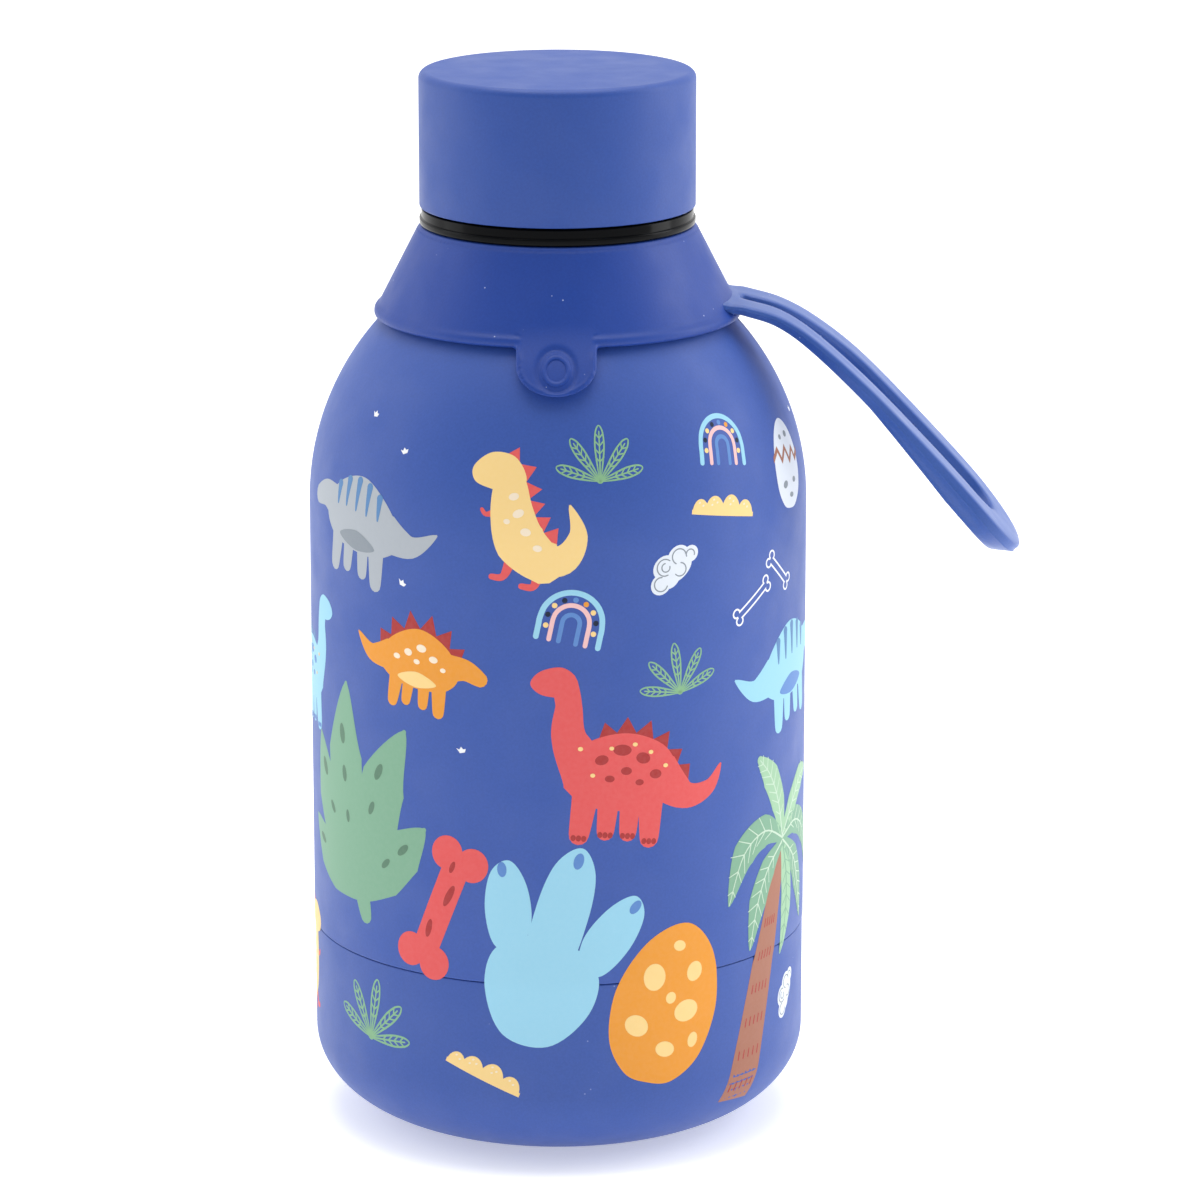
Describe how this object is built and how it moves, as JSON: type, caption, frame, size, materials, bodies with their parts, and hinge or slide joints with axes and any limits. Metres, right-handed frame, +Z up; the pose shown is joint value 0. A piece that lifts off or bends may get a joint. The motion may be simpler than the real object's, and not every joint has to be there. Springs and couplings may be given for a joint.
{
  "type": "kids water bottle",
  "caption": "Double-wall steel kids flask with a screw cap, silicone collar with a loop strap, and a silicone base boot.",
  "frame": {"origin": "centre of the flat resting face under the boot", "axes": "+Z up through the cap, the collar's front tab faces -Y, the strap leaves the collar towards +X"},
  "size_m": [0.107, 0.075, 0.1601],
  "materials": {
    "painted_steel": "soft-touch matte blue",
    "steel": "brushed",
    "blue_silicone": "matte blue silicone",
    "clear_silicone": "translucent white silicone",
    "black_plastic": "glossy black",
    "foam": "closed-cell foam",
    "getter": "sintered",
    "seal_glass": "dark fused glass"
  },
  "bodies": {
    "bottle": {"outer_shell": "painted_steel", "inner_vessel": "steel", "outer_base_plate": "steel", "getter_pellet": "getter", "vacuum_seal_bead": "seal_glass", "base_boot": "blue_silicone"},
    "cap_seal": {"cap_gasket": "clear_silicone"},
    "cap": {"cap_shell": "painted_steel", "cap_liner": "black_plastic", "cap_foam_disc": "foam", "cap_plug_cover": "black_plastic"},
    "collar": {"silicone_collar": "blue_silicone"},
    "strap": {"carry_strap": "blue_silicone"}
  },
  "joints": [
    {"name": "cap_rise", "type": "slide", "parent": "bottle", "child": "cap_seal", "axis": [0, 0, 1], "range_m": [0, 0.024]},
    {"name": "cap_turn", "type": "hinge", "parent": "cap_seal", "child": "cap", "pos_m": [0, 0, 0.15], "axis": [0, 0, 1], "range_deg": [0, 1080]},
    {"name": "collar_swivel", "type": "hinge", "parent": "bottle", "child": "collar", "pos_m": [0, 0, 0.13], "axis": [0, 0, 1], "continuous": true},
    {"name": "strap_flex", "type": "hinge", "parent": "collar", "child": "strap", "pos_m": [0.0292, 0, 0.1251], "axis": [-0.0349, -0.9994, 0], "range_deg": [-20, 75], "stiffness_Nm_per_rad": 0.05}
  ],
  "couplings": [
    {"joint": "cap_rise", "follows": "cap_turn", "m_per_rad": 0.0012732}
  ]
}
